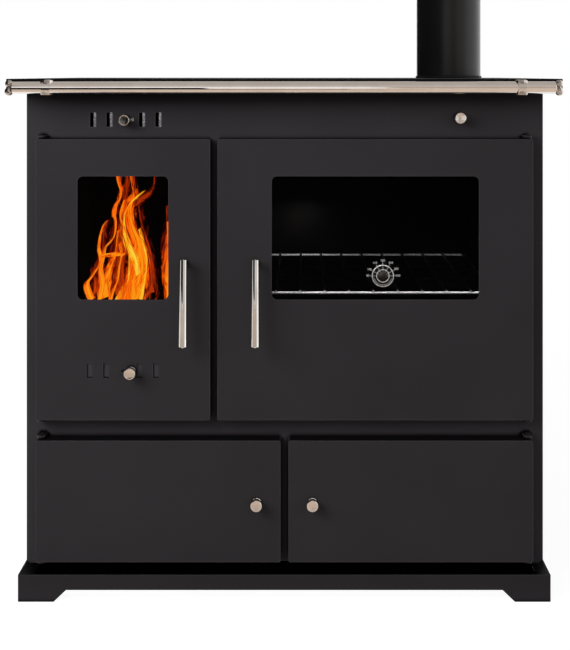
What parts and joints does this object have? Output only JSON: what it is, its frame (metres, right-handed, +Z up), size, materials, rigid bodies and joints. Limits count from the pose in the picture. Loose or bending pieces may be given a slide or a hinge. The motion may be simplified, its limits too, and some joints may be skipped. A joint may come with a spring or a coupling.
{
  "type": "wood cookstove",
  "caption": "Freestanding wood-burning cookstove with firebox, oven with window, two store compartments, hob with lid and ring, towel rail and flue stub.",
  "frame": {"origin": "on the floor, under the middle of the whole outline", "axes": "+X to the right seen from the front, +Y from the doors to the back, +Z up"},
  "size_m": [0.912, 0.6546, 1.104],
  "materials": {
    "paint": "matt black heat-proof paint",
    "inner_sheet": "matt black enamelled inner sheet",
    "cast_iron": "blackened cast iron",
    "polished": "polished stainless",
    "galvanised": "bare zinc-coated sheet and wire",
    "firebrick": "rough chamotte",
    "door_glass": "dark heat-proof glass",
    "rope": "glass-fibre sealing rope"
  },
  "bodies": {
    "root": {"plinth_front": "paint", "plinth_left": "paint", "plinth_right": "paint", "plinth_rear": "paint", "front_plate": "paint", "side_left": "paint", "side_right": "paint", "back_panel": "paint", "store_floor": "inner_sheet", "store_deck": "inner_sheet", "store_partition": "inner_sheet", "fire_door_hinge_rod": "cast_iron", "oven_door_hinge_rod": "cast_iron", "store_door_left_hinge_rod": "cast_iron", "store_door_right_hinge_rod": "cast_iron", "hob_frame": "paint", "hob_plate": "cast_iron", "flue_collar": "cast_iron", "flue_pipe": "paint", "towel_rail": "polished", "rail_bracket_left": "polished", "rail_bracket_right": "polished", "rail_cap_left": "polished", "rail_cap_right": "polished", "firebox_casing": "inner_sheet", "grate_frame": "cast_iron", "grate": "cast_iron", "fire_brick_rear": "firebrick", "fire_brick_left_front": "firebrick", "fire_brick_left_back": "firebrick", "fire_brick_right_front": "firebrick", "fire_brick_right_back": "firebrick", "oven_box": "inner_sheet", "smoke_baffle": "inner_sheet"},
    "fire_door": {"fire_door_panel": "paint", "fire_door_glass": "door_glass", "fire_door_liner": "inner_sheet", "fire_door_seal": "rope"},
    "fire_door_handle": {"fire_door_handle": "polished"},
    "lower_air_slide": {"lower_air_slide": "inner_sheet", "lower_air_slide_knob": "polished"},
    "ash_pan": {"ash_pan": "galvanised"},
    "oven_door": {"oven_door_panel": "paint", "oven_door_glass": "door_glass", "oven_door_liner": "inner_sheet", "oven_door_seal": "rope", "thermometer_case": "polished"},
    "oven_door_handle": {"oven_door_handle": "polished"},
    "thermometer_pointer": {"thermometer_pointer": "polished"},
    "oven_rack": {"oven_rack": "galvanised"},
    "store_door_left": {"store_door_left_panel": "paint", "store_door_left_knob": "polished"},
    "store_door_right": {"store_door_right_panel": "paint", "store_door_right_knob": "polished"},
    "upper_air_slide": {"upper_air_slide": "galvanised", "upper_air_slide_knob": "polished"},
    "damper": {"damper_plate": "inner_sheet", "damper_knob": "polished"},
    "hob_ring": {"hob_ring": "cast_iron"},
    "hob_lid": {"hob_lid": "cast_iron"}
  },
  "joints": [
    {"name": "fire_door_hinge", "type": "hinge", "parent": "root", "child": "fire_door", "pos_m": [-0.403, -0.25975, 0.5], "axis": [0, 0, -1], "range_deg": [0, 120]},
    {"name": "fire_handle_turn", "type": "hinge", "parent": "fire_door", "child": "fire_door_handle", "pos_m": [-0.164, -0.2747, 0.5475], "axis": [0, 1, 0], "range_deg": [0, 60]},
    {"name": "lower_air_slide_move", "type": "slide", "parent": "fire_door", "child": "lower_air_slide", "axis": [1, 0, 0], "range_m": [-0.014, 0]},
    {"name": "ash_pan_pull", "type": "slide", "parent": "root", "child": "ash_pan", "axis": [0, -1, 0], "range_m": [0, 0.19]},
    {"name": "oven_door_hinge", "type": "hinge", "parent": "root", "child": "oven_door", "pos_m": [0.403, -0.25975, 0.5], "axis": [0, 0, 1], "range_deg": [0, 120]},
    {"name": "oven_handle_turn", "type": "hinge", "parent": "oven_door", "child": "oven_door_handle", "pos_m": [-0.047, -0.2747, 0.5475], "axis": [0, -1, 0], "range_deg": [0, 60]},
    {"name": "thermometer_turn", "type": "hinge", "parent": "oven_door", "child": "thermometer_pointer", "pos_m": [0.162, -0.2747, 0.5255], "axis": [0, 1, 0], "range_deg": [0, 180]},
    {"name": "oven_rack_pull", "type": "slide", "parent": "root", "child": "oven_rack", "axis": [0, -1, 0], "range_m": [0, 0.137]},
    {"name": "store_door_left_hinge", "type": "hinge", "parent": "root", "child": "store_door_left", "pos_m": [-0.403, -0.25975, 0.15], "axis": [0, 0, -1], "range_deg": [0, 120]},
    {"name": "store_door_right_hinge", "type": "hinge", "parent": "root", "child": "store_door_right", "pos_m": [0.403, -0.25975, 0.15], "axis": [0, 0, 1], "range_deg": [0, 120]},
    {"name": "upper_air_slide_move", "type": "slide", "parent": "root", "child": "upper_air_slide", "axis": [1, 0, 0], "range_m": [-0.007, 0.013]},
    {"name": "damper_pull", "type": "slide", "parent": "root", "child": "damper", "axis": [0, -1, 0], "range_m": [0, 0.08]},
    {"name": "hob_ring_lift", "type": "slide", "parent": "root", "child": "hob_ring", "axis": [0, 0, 1], "range_m": [0, 0.06]},
    {"name": "hob_lid_lift", "type": "slide", "parent": "hob_ring", "child": "hob_lid", "axis": [0, 0, 1], "range_m": [0, 0.06]}
  ],
  "couplings": [
    {"joint": "ash_pan_pull", "follows": "fire_door_hinge", "m_per_rad": 0.09},
    {"joint": "oven_rack_pull", "follows": "oven_door_hinge", "m_per_rad": 0.065}
  ]
}
